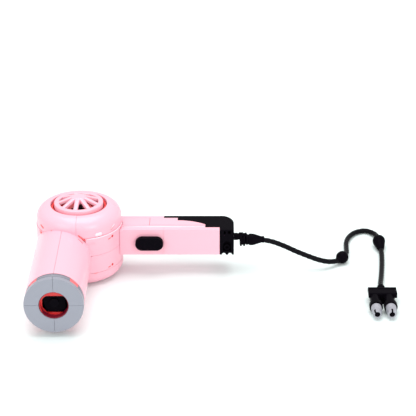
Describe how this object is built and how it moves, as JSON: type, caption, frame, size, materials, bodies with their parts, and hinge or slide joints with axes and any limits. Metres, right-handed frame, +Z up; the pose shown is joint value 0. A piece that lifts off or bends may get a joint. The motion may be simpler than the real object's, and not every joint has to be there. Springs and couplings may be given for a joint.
{
  "type": "toy hair dryer",
  "caption": "Brick-built toy hair dryer lying on its side: round fan drum with a spoked intake wheel, short barrel, handle with a pill switch, and a hose cord with a two-pin plug.",
  "frame": {"origin": "on the ground plane under the axis of the round fan drum, at the centre of its flat foot", "axes": "+Z up along the drum axis, +X from the drum along the handle, -Y from the drum along the barrel to the nozzle"},
  "size_m": [0.2024, 0.1279, 0.0463],
  "materials": {
    "pink_plastic": "glossy moulded plastic, fine scuffs",
    "black_plastic": "satin moulded plastic",
    "red_plastic": "glossy moulded plastic",
    "light_grey_plastic": "satin moulded plastic",
    "dark_grey_plastic": "satin moulded plastic",
    "cord_hose": "matt ribbed hose"
  },
  "bodies": {
    "dryer": {"axle_pin": "dark_grey_plastic", "barrel_core": "red_plastic", "barrel_shell_bottom_left": "pink_plastic", "barrel_shell_bottom_right": "pink_plastic", "barrel_shell_top_left": "pink_plastic", "barrel_shell_top_right": "pink_plastic", "base_plate": "pink_plastic", "base_quarter_front_left": "pink_plastic", "base_quarter_front_right": "pink_plastic", "base_quarter_rear_left": "pink_plastic", "base_quarter_rear_right": "pink_plastic", "bore_liner": "red_plastic", "bottom_tile": "pink_plastic", "cord_ball_first": "black_plastic", "cord_ball_second": "black_plastic", "cord_clip": "black_plastic", "cord_first": "cord_hose", "cord_second": "cord_hose", "cord_socket": "black_plastic", "cord_third": "cord_hose", "core_column": "red_plastic", "core_deck_plate": "red_plastic", "core_floor_plate": "red_plastic", "dome_quarter_front_left": "pink_plastic", "dome_quarter_front_right": "pink_plastic", "dome_quarter_rear_left": "pink_plastic", "dome_quarter_rear_right": "pink_plastic", "end_brick": "black_plastic", "front_panel_inner": "pink_plastic", "front_panel_outer": "pink_plastic", "front_rail": "pink_plastic", "grip_rear": "black_plastic", "grip_top": "black_plastic", "handle_beam": "red_plastic", "hub_brick": "black_plastic", "muzzle_brick": "black_plastic", "nozzle_flange": "dark_grey_plastic", "nozzle_tile_bottom_left": "light_grey_plastic", "nozzle_tile_bottom_right": "light_grey_plastic", "nozzle_tile_top_left": "light_grey_plastic", "nozzle_tile_top_right": "light_grey_plastic", "plug_block": "black_plastic", "plug_collar_left": "black_plastic", "plug_collar_right": "black_plastic", "plug_neck": "black_plastic", "plug_pin_left": "light_grey_plastic", "plug_pin_right": "light_grey_plastic", "rear_panel": "pink_plastic", "recess_collar": "red_plastic", "strain_boot": "black_plastic", "switch_cap": "black_plastic", "top_tile_inner": "pink_plastic", "top_tile_outer": "pink_plastic", "wall_front_lower": "pink_plastic", "wall_front_upper": "pink_plastic", "wall_left_lower": "pink_plastic", "wall_left_upper": "pink_plastic", "wall_rear_lower": "pink_plastic", "wall_rear_upper": "pink_plastic"},
    "grille": {"grille_wheel": "pink_plastic"}
  },
  "joints": [
    {"name": "grille_spin", "type": "hinge", "parent": "dryer", "child": "grille", "pos_m": [0, 0, 0.042], "axis": [0, 0, 1], "continuous": true}
  ]
}
